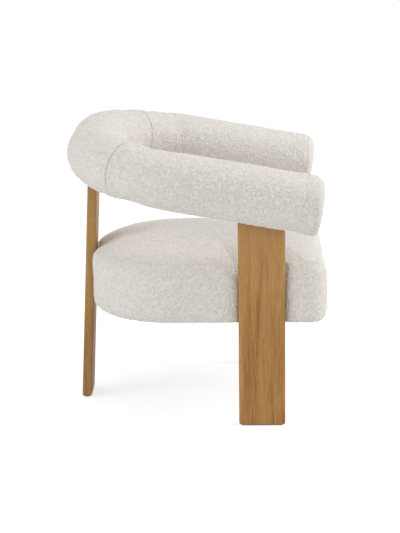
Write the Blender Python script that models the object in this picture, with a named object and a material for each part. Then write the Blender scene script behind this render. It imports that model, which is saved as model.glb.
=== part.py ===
"""A three-legged armchair: a padded U-shaped hoop, both back and arms, over a domed seat on plank legs.

Run with: blender --background --python part.py

+Z is up, the chair faces -Y, and +X is its occupant's left. The origin is on the floor, under the centre
of the chair's box. Lengths are metres. The hoop is modelled flat in a tilted frame of its own, whose
local Y runs back along the arms from their front ends and whose local Z is square to the hoop.
"""

import math

import bmesh
import bpy
from mathutils import Matrix, Vector

# ---- Driving dimensions --------------------------------------------------------------------------

GAP = 0.0003  # clearance between pieces that touch
DEPTH = 0.646  # whole chair, from the seat's front to the back of the hoop

# Hoop: the padded tube.
TUBE_RADIUS = 0.071
ARM_SPACING = 0.568  # between the arms' centre lines
HOOP_CORNER_RADIUS = 0.217  # of the centre line, where the arms turn into the back
ARM_SETBACK = 0.0162  # from the seat's front to the arms' front ends
ARM_END_Z = 0.5661
ARM_SLOPE = math.radians(10.0)  # the hoop falls towards the front
ARM_END_ROUND = 0.018  # edge radius of the arms' front ends
END_SEAM_ANGLE = math.radians(70.0)  # round that edge, from the end's flat to the cap's seam
SIDE_SEAM_ANGLE = math.radians(37.0)  # round each corner, to the seam between arm and back covers
COVER_THICKNESS = 0.002

# Hoop core: two layers of plywood with staggered joints.
CORE_WIDTH = 0.100
PLY_THICKNESS = 0.018
CORE_SETBACK = 0.030  # from the arms' front ends to the core's
LOWER_PLY_JOINT = -0.040  # joint's distance past the end of the straight arm
UPPER_PLY_JOINT = 0.060

# Seat, in plan: straight sides, a rounded front, and a back that follows a superellipse.
SEAT_SIDE_OFFSET = 0.028  # from an arm's centre line in to the seat's side
SEAT_BACK_OFFSET = 0.047  # from the back of the hoop to the back of the seat
SEAT_CURVE_DEPTH = 0.235
SEAT_CURVE_POWER = 2.27
SEAT_FRONT_CORNER = 0.046
SEAT_BOTTOM_Z = 0.2633
SEAT_BOTTOM_ROUND = 0.017
SEAT_SHOULDER_Z = 0.3765  # where the upright side starts to turn over
SEAT_SHOULDER_ROUND = 0.038
SEAT_SHOULDER_ANGLE = math.radians(66.0)
SEAT_DOME = 0.052
COVER_LIP = 0.046  # how far the seat cover turns in under the frame

# Seat frame, webbing and dust cover.
FRAME_INSET = 0.018  # from the seat's side to the rails' outer faces
RAIL_THICKNESS = 0.022
RAIL_HEIGHT = 0.060
BLOCK_THICKNESS = 0.020
CORNER_BLOCK_LEG = 0.072
STRAP_WIDTH = 0.050
STRAP_THICKNESS = 0.002
STRAP_SETBACK = 0.008  # from the rails' outer faces to the straps' ends
CROSS_STRAPS = 4
CROSS_STRAP_MARGINS = (0.098, 0.034)  # from the seat's front, and past the start of its curve, to a strap
LONG_STRAP_SPREAD = 0.47  # of the seat's half width, from the middle strap to each of the others
DUST_COVER_INSET = 0.024
DUST_COVER_THICKNESS = 0.0012

# Legs: three planks on felt pads.
LEG_THICKNESS = 0.025
FRONT_LEG_WIDTH = 0.115
FRONT_LEG_SHARE = 0.25  # of the whole depth, from the chair's middle forwards
REAR_LEG_WIDTH = 0.085
REAR_LEG_SETBACK = 0.0118  # from the back of the hoop to the leg's back face, at the floor
REAR_LEG_RAKE = math.radians(3.18)
LEG_EDGE_ROUND = 0.005
FELT_THICKNESS = 0.0025
FELT_MARGIN = 0.006

# Fasteners.
BOLT_RADIUS = 0.004
BOLT_HEAD_RADIUS = 0.0085
BOLT_HEAD_HEIGHT = 0.003
BOLT_IN_LEG = 0.017  # how far a bolt reaches into its leg
BOLT_SOCKET_RADIUS = 0.0025
FRONT_BOLT_SPACING = 0.064
REAR_BOLT_SPACING = 0.044
INSERT_RADIUS = 0.006
INSERT_LENGTH = 0.015
SCREW_RADIUS = 0.003
SCREW_HEAD_RADIUS = 0.006
SCREW_HEAD_HEIGHT = 0.004
SCREW_LENGTH = 0.085
SCREW_SINK = 0.009  # from the core's upper face down to the top of a screw's head
FRONT_SCREW_SPACING = 0.070
REAR_SCREW_SPACING = 0.044

# How finely round shapes are cut into flat faces.
TUBE_SIDES = 24
FASTENER_SIDES = 12
CORNER_STEP = math.radians(9.5)
SEAT_CURVE_STEPS = 11

# ---- Sizes that follow ---------------------------------------------------------------------------

ARM_X = ARM_SPACING / 2
ARM_END_Y = ARM_SETBACK - DEPTH / 2
SEAT_FRONT_Y = -DEPTH / 2
SEAT_BACK_Y = DEPTH / 2 - SEAT_BACK_OFFSET
SEAT_CURVE_START_Y = SEAT_BACK_Y - SEAT_CURVE_DEPTH
SEAT_HALF_WIDTH = ARM_X - SEAT_SIDE_OFFSET
FRONT_LEG_Y = -DEPTH * FRONT_LEG_SHARE
REAR_LEG_FOOT_Y = DEPTH / 2 - REAR_LEG_SETBACK
# Local, from the arms' ends to the back's centre line.
HOOP_LENGTH = (DEPTH / 2 - TUBE_RADIUS - ARM_END_Y) / math.cos(ARM_SLOPE)
ARM_STRAIGHT = HOOP_LENGTH - HOOP_CORNER_RADIUS
HOOP_CORNER_TRAVEL = HOOP_CORNER_RADIUS * math.pi / 2
HALF_HOOP_TRAVEL = ARM_STRAIGHT + HOOP_CORNER_TRAVEL + ARM_X - HOOP_CORNER_RADIUS
SIDE_SEAM_TRAVEL = ARM_STRAIGHT + HOOP_CORNER_RADIUS * SIDE_SEAM_ANGLE
PLY_JOINTS = {"lower": ARM_STRAIGHT + LOWER_PLY_JOINT, "upper": ARM_STRAIGHT + UPPER_PLY_JOINT}
SEAT_CENTRE_Y = (SEAT_FRONT_Y + SEAT_BACK_Y) / 2
FOAM_INSET = COVER_THICKNESS + GAP
RAIL_BOTTOM_Z = SEAT_BOTTOM_Z + COVER_THICKNESS + GAP
RAIL_TOP_Z = RAIL_BOTTOM_Z + RAIL_HEIGHT
RAIL_MIDDLE_Z = RAIL_BOTTOM_Z + RAIL_HEIGHT / 2
CROSS_STRAP_Z = RAIL_TOP_Z + GAP
LONG_STRAP_Z = CROSS_STRAP_Z + STRAP_THICKNESS + GAP
DECK_Z = LONG_STRAP_Z + STRAP_THICKNESS + GAP
LEG_BOTTOM_Z = FELT_THICKNESS + GAP
FRONT_LEG_INNER_X = SEAT_HALF_WIDTH - FRAME_INSET + GAP
FRONT_LEG_CENTRE_X = FRONT_LEG_INNER_X + LEG_THICKNESS / 2
SIDES = {"left": 1, "right": -1}

# ---- Materials -----------------------------------------------------------------------------------

MATERIALS = {  # name: (base colour, roughness, metallic)
    "fabric": ((0.72, 0.68, 0.63), 0.95, 0.0),
    "foam": ((0.85, 0.80, 0.62), 0.95, 0.0),
    "oak": ((0.42, 0.24, 0.09), 0.50, 0.0),
    "plywood": ((0.58, 0.42, 0.25), 0.65, 0.0),
    "webbing": ((0.06, 0.06, 0.06), 0.85, 0.0),
    "dust_cover": ((0.02, 0.02, 0.02), 0.90, 0.0),
    "felt": ((0.30, 0.24, 0.18), 0.95, 0.0),
    "steel": ((0.55, 0.55, 0.56), 0.35, 1.0),
}


def material(name):
    """The Principled material of this name, made once."""
    found = bpy.data.materials.get(name)
    if found:
        return found
    colour, roughness, metallic = MATERIALS[name]
    made = bpy.data.materials.new(name)
    made.use_nodes = True
    shader = made.node_tree.nodes["Principled BSDF"]
    shader.inputs["Base Color"].default_value = (*colour, 1.0)
    shader.inputs["Roughness"].default_value = roughness
    shader.inputs["Metallic"].default_value = metallic
    made.diffuse_color = (*colour, 1.0)
    return made


# ---- Building blocks -----------------------------------------------------------------------------


def add_object(name, bm, finish=None, parent=None, smooth=True):
    """Makes an object from bm. Without a finish it is a cutter, which isn't part of the chair."""
    bmesh.ops.recalc_face_normals(bm, faces=bm.faces)
    mesh = bpy.data.meshes.new(name)
    bm.to_mesh(mesh)
    bm.free()
    if smooth:
        mesh.shade_smooth()
        mesh.set_sharp_from_angle(angle=math.radians(35))
    obj = bpy.data.objects.new(name, mesh)
    bpy.context.scene.collection.objects.link(obj)
    obj.parent = parent
    if finish:
        mesh.materials.append(material(finish))
    else:
        obj.hide_render = True
        obj.display_type = "WIRE"
    return obj


def cut(obj, *cutters):
    for cutter in cutters:
        modifier = obj.modifiers.new("cut by " + cutter.name, "BOOLEAN")
        modifier.operation = "DIFFERENCE"
        modifier.solver = "EXACT"
        modifier.object = cutter
    return obj


def loft(rings, start=None, end=None, looped=False):
    """Skins a row of rings. Each end is closed by a fan to the point given, or else by one flat face;
    a looped row joins its last ring to its first instead."""
    bm = bmesh.new()
    rows = [[bm.verts.new(point) for point in ring] for ring in rings]
    pairs = list(zip(rows, rows[1:]))
    if looped:
        pairs.append((rows[-1], rows[0]))
    for row, following in pairs:
        for i in range(len(row)):
            j = (i + 1) % len(row)
            bm.faces.new((row[i], row[j], following[j], following[i]))
    if looped:
        return bm
    for row, pole in ((rows[0], start), (rows[-1], end)):
        if pole is None:
            bm.faces.new(row)
            continue
        tip = bm.verts.new(pole)
        for i in range(len(row)):
            bm.faces.new((row[i], row[(i + 1) % len(row)], tip))
    return bm


def turned(profile, place, looped=False):
    """A round piece: profile is a row of (radius, height) about local Z, and place a matrix. A looped profile
    closes on itself; otherwise its first and last points have radius 0."""
    rings = [
        [
            place @ Vector((radius * math.cos(a), radius * math.sin(a), height))
            for a in (math.tau * i / FASTENER_SIDES for i in range(FASTENER_SIDES))
        ]
        for radius, height in (profile if looped else profile[1:-1])
    ]
    if looped:
        return loft(rings, looped=True)
    ends = [place @ Vector((0, 0, height)) for _, height in (profile[0], profile[-1])]
    return loft(rings, start=ends[0], end=ends[1])


def box(low, high):
    corners = [(low[0], low[1]), (high[0], low[1]), (high[0], high[1]), (low[0], high[1])]
    return loft([[Vector((x, y, z)) for x, y in corners] for z in (low[2], high[2])])


def pointing(place, direction):
    """A matrix at place whose local Z points along direction."""
    return Matrix.Translation(place) @ Vector(direction).to_track_quat("Z", "Y").to_matrix().to_4x4()


# ---- Hoop geometry, in the hoop's own frame ------------------------------------------------------


def hoop_station(travel, side):
    """(centre, outward direction) on the centre line, at a distance from an arm's front end."""
    if travel <= ARM_STRAIGHT:
        x, y, turn = ARM_X, travel, 0.0
    elif travel <= ARM_STRAIGHT + HOOP_CORNER_TRAVEL:
        turn = (travel - ARM_STRAIGHT) / HOOP_CORNER_RADIUS
        x = ARM_X - HOOP_CORNER_RADIUS * (1 - math.cos(turn))
        y = ARM_STRAIGHT + HOOP_CORNER_RADIUS * math.sin(turn)
    else:
        x = HALF_HOOP_TRAVEL - travel
        y, turn = HOOP_LENGTH, math.pi / 2
    outward = Vector((side * math.cos(turn), math.sin(turn), 0))
    return Vector((side * x, y, 0)), outward


def hoop_travels(start, stop):
    """Distances along the centre line that follow its curve, from start to stop. Every piece bends at
    the same ones, so that one inside another keeps its clearance."""
    steps = math.ceil(math.pi / 2 / CORNER_STEP)
    bends = [ARM_STRAIGHT + HOOP_CORNER_TRAVEL * i / steps for i in range(steps + 1)]
    bends = sorted([*bends, *PLY_JOINTS.values(), SIDE_SEAM_TRAVEL])
    return [start, *(b for b in bends if start + GAP < b < stop - GAP), stop]


def tube_ring(travel, side, radius):
    """A round section. One of its points is level with its centre, in the chair's frame, at the back."""
    centre, outward = hoop_station(travel, side)
    angles = (math.tau * i / TUBE_SIDES - ARM_SLOPE for i in range(TUBE_SIDES))
    up = Vector((0, 0, 1))
    return [centre + radius * (math.cos(a) * outward + math.sin(a) * up) for a in angles]


def end_rings(side, inset, angles):
    """Sections of an arm's rounded front end, on a surface that lies inset inside the cover's."""
    round_radius = ARM_END_ROUND - inset
    return [
        tube_ring(
            ARM_END_ROUND - round_radius * math.cos(a),
            side,
            TUBE_RADIUS - ARM_END_ROUND + round_radius * math.sin(a),
        )
        for a in angles
    ]


def tube_rings(side, inset, start, stop):
    return [tube_ring(t, side, TUBE_RADIUS - inset) for t in hoop_travels(start, stop)]


def spread(first, last, count):
    return [first + (last - first) * i / (count - 1) for i in range(count)]


def shell_between(rings_at):
    """A sleeve of the cover's thickness; rings_at gives the rings of a surface at an inset."""
    return loft(rings_at(0.0) + rings_at(COVER_THICKNESS)[::-1], looped=True)


def arm_cover(side):
    seam = END_SEAM_ANGLE + GAP / ARM_END_ROUND
    angles = spread(seam, math.pi / 2, 3)

    def rings_at(inset):
        straight = tube_rings(side, inset, ARM_END_ROUND, SIDE_SEAM_TRAVEL - GAP / 2)
        return end_rings(side, inset, angles[:-1]) + straight

    return shell_between(rings_at)


def back_cover(side):
    def rings_at(inset):
        return tube_rings(side, inset, SIDE_SEAM_TRAVEL + GAP / 2, HALF_HOOP_TRAVEL - GAP / 2)

    return shell_between(rings_at)


def end_cap(side):
    angles = spread(0.0, END_SEAM_ANGLE, 4)
    outer = end_rings(side, 0.0, angles)
    inner = end_rings(side, COVER_THICKNESS, angles)
    tips = [Vector((side * ARM_X, y, 0)) for y in (0.0, COVER_THICKNESS)]
    return loft(outer + inner[::-1], start=tips[0], end=tips[1])


def arm_foam(side):
    angles = spread(0.0, math.pi / 2, 5)
    rings = end_rings(side, FOAM_INSET, angles[:-1])
    rings += tube_rings(side, FOAM_INSET, ARM_END_ROUND, SIDE_SEAM_TRAVEL - GAP / 2)
    return loft(rings, start=Vector((side * ARM_X, FOAM_INSET, 0)))


def back_foam():
    halves = [
        tube_rings(side, FOAM_INSET, SIDE_SEAM_TRAVEL + GAP / 2, HALF_HOOP_TRAVEL)
        for side in SIDES.values()
    ]
    return loft(halves[0][:-1] + mirrored_rings(halves[0])[::-1])


def mirrored_rings(rings):
    return [[Vector((-p.x, p.y, p.z)) for p in ring] for ring in rings]


def bar_rings(travels, side, half_width, low, high):
    """Sections of a flat bar that follows the centre line."""
    rings = []
    for travel in travels:
        centre, outward = hoop_station(travel, side)
        rings.append(
            [
                centre + outward * across + Vector((0, 0, z))
                for across, z in (
                    (-half_width, low),
                    (half_width, low),
                    (half_width, high),
                    (-half_width, high),
                )
            ]
        )
    return rings


def whole_bar_rings(start, half_width, low, high):
    """Sections of a bar from one arm, round the back, to the other arm."""
    rings = bar_rings(hoop_travels(start, HALF_HOOP_TRAVEL), 1, half_width, low, high)
    return rings[:-1] + mirrored_rings(rings)[::-1]


# ---- Seat geometry -------------------------------------------------------------------------------


def half_seat_outline():
    """(point, outward direction) pairs of the seat's plan, x >= 0, from the back's middle to the front's."""
    pairs = []
    reach = SEAT_BACK_Y - SEAT_CURVE_START_Y
    power = SEAT_CURVE_POWER
    for i in range(SEAT_CURVE_STEPS + 1):
        a = math.pi / 2 * i / SEAT_CURVE_STEPS
        across, along = math.sin(a) ** (2 / power), max(math.cos(a), 0.0) ** (2 / power)
        point = Vector((SEAT_HALF_WIDTH * across, SEAT_CURVE_START_Y + reach * along, 0))
        slope = Vector((across ** (power - 1) / SEAT_HALF_WIDTH, along ** (power - 1) / reach, 0))
        pairs.append((point, slope.normalized()))
    centre = Vector((SEAT_HALF_WIDTH - SEAT_FRONT_CORNER, SEAT_FRONT_Y + SEAT_FRONT_CORNER, 0))
    for a in spread(0.0, math.pi / 2, 6):
        outward = Vector((math.cos(a), -math.sin(a), 0))
        pairs.append((centre + outward * SEAT_FRONT_CORNER, outward))
    return pairs


SEAT_OUTLINE = half_seat_outline()
CURVE_PAIRS = SEAT_OUTLINE[: SEAT_CURVE_STEPS + 1]
CORNER_PAIRS = SEAT_OUTLINE[SEAT_CURVE_STEPS + 1 :]


def seat_ring(inset, z, scale=1.0):
    """The seat's plan, moved inwards by inset and then scaled about the seat's centre, at height z."""
    centre = Vector((0, SEAT_CENTRE_Y, z))
    half = []
    for point, outward in SEAT_OUTLINE:
        moved = point - outward * inset
        half.append(centre + (Vector((moved.x, moved.y, z)) - centre) * scale)
    mirrored = [Vector((-p.x, p.y, p.z)) for p in half[1:]]
    return half + mirrored[::-1]


def seat_surface(inset):
    """Rings of the seat's outside from its underside up, and its top point, all set in by inset."""
    bottom = SEAT_BOTTOM_ROUND - inset
    shoulder = SEAT_SHOULDER_ROUND - inset
    rings = [
        seat_ring(
            SEAT_BOTTOM_ROUND - bottom * math.sin(a),
            SEAT_BOTTOM_Z + SEAT_BOTTOM_ROUND - bottom * math.cos(a),
        )
        for a in spread(0.0, math.pi / 2, 4)
    ]
    for a in spread(0.0, SEAT_SHOULDER_ANGLE, 4):
        rim = (SEAT_SHOULDER_ROUND - shoulder * math.cos(a), SEAT_SHOULDER_Z + shoulder * math.sin(a))
        rings.append(seat_ring(*rim))
    for scale in (0.85, 0.65, 0.4, 0.18):
        rings.append(seat_ring(rim[0], rim[1] + SEAT_DOME * (1 - scale**2), scale))
    return rings, Vector((0, SEAT_CENTRE_Y, rim[1] + SEAT_DOME))


def seat_cover():
    outer, outer_tip = seat_surface(0.0)
    inner, inner_tip = seat_surface(COVER_THICKNESS)
    lip = [
        seat_ring(COVER_LIP, SEAT_BOTTOM_Z),
        seat_ring(COVER_LIP, SEAT_BOTTOM_Z + COVER_THICKNESS),
    ]
    return loft(outer[::-1] + lip + inner, start=outer_tip, end=inner_tip)


def seat_foam():
    outer, tip = seat_surface(FOAM_INSET)
    wall = FRAME_INSET - GAP
    recess = [seat_ring(wall, DECK_Z), seat_ring(wall, SEAT_BOTTOM_Z + FOAM_INSET)]
    return loft(recess + outer, start=Vector((0, SEAT_CENTRE_Y, DECK_Z)), end=tip)


def rail_rings(pairs, inset, thickness):
    """Upright sections of a rail along part of the seat's outline."""
    low, high = RAIL_BOTTOM_Z, RAIL_TOP_Z
    return [
        [
            Vector((*(point - outward * d).xy, z))
            for d, z in (
                (inset, low),
                (inset, high),
                (inset + thickness, high),
                (inset + thickness, low),
            )
        ]
        for point, outward in pairs
    ]


def shifted(pair, distance):
    """The same pair, moved along the outline's straight side."""
    point, outward = pair
    return point + Vector((0, distance, 0)), outward


def side_pairs():
    """The two ends of a side rail, which is straight, with half a gap at each joint."""
    return [shifted(CURVE_PAIRS[-1], -GAP), shifted(CORNER_PAIRS[0], GAP)]


def frame_half_width_at(y, inset):
    """Half the seat's width at y, less an inset all round: straight at first, and then the back's curve."""
    width = SEAT_HALF_WIDTH - inset
    along = max(y - SEAT_CURVE_START_Y, 0.0) / (SEAT_CURVE_DEPTH - inset)
    return width * (1 - along**SEAT_CURVE_POWER) ** (1 / SEAT_CURVE_POWER)


def frame_back_at(x, inset):
    """Y of the seat's curved back at a distance x from its middle, less an inset all round."""
    across = x / (SEAT_HALF_WIDTH - inset)
    reach = (SEAT_CURVE_DEPTH - inset) * (1 - across**SEAT_CURVE_POWER) ** (1 / SEAT_CURVE_POWER)
    return SEAT_CURVE_START_Y + reach


# ---- Legs ----------------------------------------------------------------------------------------


def core_underside(y):
    """Height of the hoop core's lower face above a point at y."""
    centre = ARM_END_Z + (y - ARM_END_Y) * math.tan(ARM_SLOPE)
    return centre - PLY_THICKNESS / math.cos(ARM_SLOPE)


def rear_leg_back(z):
    return REAR_LEG_FOOT_Y - z * math.tan(REAR_LEG_RAKE)


def rear_leg_front(z):
    return rear_leg_back(z) - LEG_THICKNESS / math.cos(REAR_LEG_RAKE)


def plank(xs, front, back, bottom, grow=0.0):
    """An upright plank whose top is cut to meet the core. front and back give its faces' y at a height."""
    low_x, high_x = min(xs) - grow, max(xs) + grow

    def height_where(face):
        z = core_underside(face(bottom))
        for _ in range(6):
            z = core_underside(face(z)) - GAP / math.cos(ARM_SLOPE)
        return z + grow

    tops = [height_where(front), height_where(back)]
    front_foot, back_foot = front(bottom) - grow, back(bottom) + grow
    front_top, back_top = front(tops[0]) - grow, back(tops[1]) + grow
    rings = [
        [Vector((low_x, y, z)), Vector((high_x, y, z))]
        for y, z in (
            (front_foot, bottom - grow),
            (front_top, tops[0]),
            (back_top, tops[1]),
            (back_foot, bottom - grow),
        )
    ]
    return loft([[ring[0] for ring in rings], [ring[1] for ring in rings]])


def round_edges(bm, keep_above):
    """Rounds the edges of a plank, apart from those of its hidden top end, which lie above a height."""
    edges = [e for e in bm.edges if min(v.co.z for v in e.verts) < keep_above]
    bmesh.ops.bevel(
        bm, geom=edges, offset=LEG_EDGE_ROUND, segments=3, profile=0.5, affect="EDGES", clamp_overlap=True
    )
    return bm


def leg_shapes():
    """name: (x range, front face, back face) of each leg."""
    shapes = {
        f"front_leg_{name}": (
            (side * FRONT_LEG_INNER_X, side * (FRONT_LEG_INNER_X + LEG_THICKNESS)),
            lambda z: FRONT_LEG_Y - FRONT_LEG_WIDTH / 2,
            lambda z: FRONT_LEG_Y + FRONT_LEG_WIDTH / 2,
        )
        for name, side in SIDES.items()
    }
    shapes["rear_leg"] = ((-REAR_LEG_WIDTH / 2, REAR_LEG_WIDTH / 2), rear_leg_front, rear_leg_back)
    return shapes


# ---- Fasteners -----------------------------------------------------------------------------------


def bolt_profile(length):
    """A bolt with a flat socket head on top of its shank, which reaches down to -length."""
    socket_floor = BOLT_HEAD_HEIGHT / 3
    return [
        (0, socket_floor),
        (BOLT_SOCKET_RADIUS, socket_floor),
        (BOLT_SOCKET_RADIUS, BOLT_HEAD_HEIGHT),
        (BOLT_HEAD_RADIUS * 0.9, BOLT_HEAD_HEIGHT),
        (BOLT_HEAD_RADIUS, BOLT_HEAD_HEIGHT * 0.6),
        (BOLT_HEAD_RADIUS, 0),
        (BOLT_RADIUS, 0),
        (BOLT_RADIUS, -length + 0.001),
        (BOLT_RADIUS - 0.001, -length),
        (0, -length),
    ]


def screw_profile():
    """A countersunk screw whose head's top is at 0."""
    return [
        (0, 0),
        (SCREW_HEAD_RADIUS, 0),
        (SCREW_RADIUS, -SCREW_HEAD_HEIGHT),
        (SCREW_RADIUS, -SCREW_LENGTH + 2 * SCREW_RADIUS),
        (0, -SCREW_LENGTH),
    ]


def hole_profile(radius, low, high):
    return [(0, high), (radius, high), (radius, low), (0, low)]


def bolt_sites():
    """(leg, number): (point on the leg's inner face, direction from it to the bolt's head, distance)."""
    sites = {}
    for name, side in SIDES.items():
        for number, offset in enumerate((-FRONT_BOLT_SPACING / 2, FRONT_BOLT_SPACING / 2), 1):
            place = Vector((side * FRONT_LEG_INNER_X, FRONT_LEG_Y + offset, RAIL_MIDDLE_Z))
            grip = RAIL_THICKNESS + 2 * GAP
            sites[f"front_leg_{name}", number] = (place, Vector((-side, 0, 0)), grip)
    leg_face = rear_leg_front(RAIL_MIDDLE_Z)
    head_edge = REAR_BOLT_SPACING / 2 + BOLT_HEAD_RADIUS
    rail_inner = frame_back_at(head_edge, FRAME_INSET + RAIL_THICKNESS) - GAP
    for number, x in enumerate((-REAR_BOLT_SPACING / 2, REAR_BOLT_SPACING / 2), 1):
        place = Vector((x, leg_face, RAIL_MIDDLE_Z))
        sites["rear_leg", number] = (place, Vector((0, -1, 0)), leg_face - rail_inner + 2 * GAP)
    return sites


def screw_sites():
    """(leg, number): the centre of the top of a leg screw's head."""
    sites = {}
    for name, side in SIDES.items():
        for number, offset in enumerate((-FRONT_SCREW_SPACING / 2, FRONT_SCREW_SPACING / 2), 1):
            sites[f"front_leg_{name}", number] = (side * FRONT_LEG_CENTRE_X, FRONT_LEG_Y + offset)
    top = core_underside(DEPTH / 2 - TUBE_RADIUS)
    middle = (rear_leg_front(top) + rear_leg_back(top)) / 2
    for number, x in enumerate((-REAR_SCREW_SPACING / 2, REAR_SCREW_SPACING / 2), 1):
        sites["rear_leg", number] = (x, middle)
    core_height = 2 * PLY_THICKNESS / math.cos(ARM_SLOPE)
    lift = core_height - SCREW_SINK
    return {site: Vector((x, y, core_underside(y) + lift)) for site, (x, y) in sites.items()}


# ---- The chair -----------------------------------------------------------------------------------


def clear_scene():
    for obj in list(bpy.data.objects):
        bpy.data.objects.remove(obj)


def build_legs():
    """Returns the legs, and for each a cutter that is its leg with clearance all round."""
    legs, cutters = {}, {}
    for name, (xs, front, back) in leg_shapes().items():
        bm = round_edges(plank(xs, front, back, LEG_BOTTOM_Z), core_underside(ARM_END_Y) - TUBE_RADIUS)
        legs[name] = add_object(name, bm, "oak")
        cutters[name] = add_object("space_for_" + name, plank(xs, front, back, LEG_BOTTOM_Z, grow=GAP))
        pad_low = (min(xs) + FELT_MARGIN, front(0) + FELT_MARGIN, 0)
        pad_high = (max(xs) - FELT_MARGIN, back(0) - FELT_MARGIN, FELT_THICKNESS)
        add_object("felt_pad_" + name.replace("_leg", ""), box(pad_low, pad_high), "felt", smooth=False)
    return legs, cutters


def label(site):
    leg, number = site
    return f"{leg.replace('_leg', '')}_{number}"


def build_fasteners(legs):
    """Adds the bolts, inserts and leg screws, and returns the cutters for their holes in rails and core."""
    bolt_holes, screw_holes = {}, {}
    for site, (place, to_head, grip) in bolt_sites().items():
        name = label(site)
        head_seat = pointing(place + to_head * grip, to_head)
        add_object("bolt_" + name, turned(bolt_profile(grip + BOLT_IN_LEG), head_seat), "steel")
        leg_face = pointing(place, to_head)
        top, bottom = -2 * GAP, -2 * GAP - INSERT_LENGTH
        bore = BOLT_RADIUS + GAP
        insert = [(INSERT_RADIUS, top), (INSERT_RADIUS, bottom), (bore, bottom), (bore, top)]
        add_object("insert_" + name, turned(insert, leg_face, looped=True), "steel")
        pocket = hole_profile(INSERT_RADIUS + GAP, bottom - GAP, LEG_THICKNESS)
        pilot = hole_profile(bore, -BOLT_IN_LEG - 2 * GAP, LEG_THICKNESS)
        cut(legs[site[0]], add_object("pocket_" + name, turned(pocket, leg_face)))
        cut(legs[site[0]], add_object("pilot_" + name, turned(pilot, leg_face)))
        through = hole_profile(bore, -GAP, grip + RAIL_THICKNESS)
        bolt_holes[site] = add_object("hole_for_bolt_" + name, turned(through, leg_face))
    for site, place in screw_sites().items():
        name = label(site)
        upright = Matrix.Translation(place)
        add_object("leg_screw_" + name, turned(screw_profile(), upright), "steel")
        sunk = [
            (0, 3 * SCREW_SINK),
            (SCREW_HEAD_RADIUS + GAP, 3 * SCREW_SINK),
            (SCREW_HEAD_RADIUS + GAP, 0),
            (SCREW_RADIUS + GAP, -SCREW_HEAD_HEIGHT),
            (SCREW_RADIUS + GAP, -SCREW_LENGTH),
            (0, -SCREW_LENGTH - SCREW_RADIUS),
        ]
        screw_holes[site] = add_object("hole_for_screw_" + name, turned(sunk, upright))
        cut(legs[site[0]], screw_holes[site])
    return bolt_holes, screw_holes


def holes_of(leg, holes):
    return [hole for site, hole in holes.items() if site[0] == leg]


def build_core(hoop, screw_holes):
    """Two plywood layers, each in three pieces whose joints are staggered, and the cutter for its channel."""
    half = CORE_WIDTH / 2
    layers = {"lower": (-PLY_THICKNESS, -GAP / 2), "upper": (GAP / 2, PLY_THICKNESS)}
    for layer, (low, high) in layers.items():
        joint = PLY_JOINTS[layer]
        for name, side in SIDES.items():
            rings = bar_rings(hoop_travels(CORE_SETBACK, joint - GAP / 2), side, half, low, high)
            piece = add_object(f"arm_ply_{layer}_{name}", loft(rings), "plywood", hoop, smooth=False)
            cut(piece, *holes_of(f"front_leg_{name}", screw_holes))
        rings = whole_bar_rings(joint + GAP / 2, half, low, high)
        piece = add_object(f"back_ply_{layer}", loft(rings), "plywood", hoop, smooth=False)
        cut(piece, *holes_of("rear_leg", screw_holes))
    depth = PLY_THICKNESS + GAP
    channel = loft(whole_bar_rings(CORE_SETBACK - GAP, half + GAP, -depth, depth))
    return add_object("channel_for_core", channel, parent=hoop)


def build_hoop_padding(hoop, channel, leg_spaces):
    for name, side in SIDES.items():
        leg_space = leg_spaces[f"front_leg_{name}"]
        cut(add_object(f"arm_foam_{name}", arm_foam(side), "foam", hoop), channel, leg_space)
        cut(add_object(f"arm_cover_{name}", arm_cover(side), "fabric", hoop), leg_space)
        add_object(f"arm_end_cap_{name}", end_cap(side), "fabric", hoop)
        cut(add_object(f"back_cover_{name}", back_cover(side), "fabric", hoop), leg_spaces["rear_leg"])
    cut(add_object("back_foam", back_foam(), "foam", hoop), channel, leg_spaces["rear_leg"])


def build_rails(bolt_holes):
    def rail(name, pairs, leg=None):
        bm = loft(rail_rings(pairs, FRAME_INSET, RAIL_THICKNESS))
        cut(add_object(name, bm, "plywood"), *holes_of(leg, bolt_holes))

    def mirrored(pairs):
        return [(Vector((-p.x, p.y, 0)), Vector((-n.x, n.y, 0))) for p, n in pairs]

    rail("front_rail", CORNER_PAIRS + mirrored(CORNER_PAIRS)[::-1])
    rail("side_rail_left", side_pairs(), "front_leg_left")
    rail("side_rail_right", mirrored(side_pairs()), "front_leg_right")
    rail("back_rail", CURVE_PAIRS[::-1] + mirrored(CURVE_PAIRS)[1:], "rear_leg")
    splice = [shifted(CURVE_PAIRS[-1], -2 * RAIL_HEIGHT / 3), *CURVE_PAIRS[-1:-4:-1]]
    block_inset = FRAME_INSET + RAIL_THICKNESS + GAP
    for name, pairs in (("left", splice), ("right", mirrored(splice))):
        add_object(f"splice_block_{name}", loft(rail_rings(pairs, block_inset, BLOCK_THICKNESS)), "plywood")


def build_corner_blocks():
    """Three-cornered blocks across the inside of the front corners."""
    inner = FRAME_INSET + RAIL_THICKNESS + GAP
    chamfer = max(SEAT_FRONT_CORNER - inner, 0.0) + GAP
    for name, side in SIDES.items():
        x, y = SEAT_HALF_WIDTH - inner, SEAT_FRONT_Y + inner
        outline = [
            (x - chamfer, y),
            (x, y + chamfer),
            (x, y + CORNER_BLOCK_LEG),
            (x - BLOCK_THICKNESS, y + CORNER_BLOCK_LEG),
            (x - CORNER_BLOCK_LEG, y + BLOCK_THICKNESS),
            (x - CORNER_BLOCK_LEG, y),
        ]
        rings = [[Vector((side * px, py, z)) for px, py in outline] for z in (RAIL_BOTTOM_Z, RAIL_TOP_Z)]
        add_object(f"corner_block_{name}", loft(rings), "plywood", smooth=False)


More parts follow.
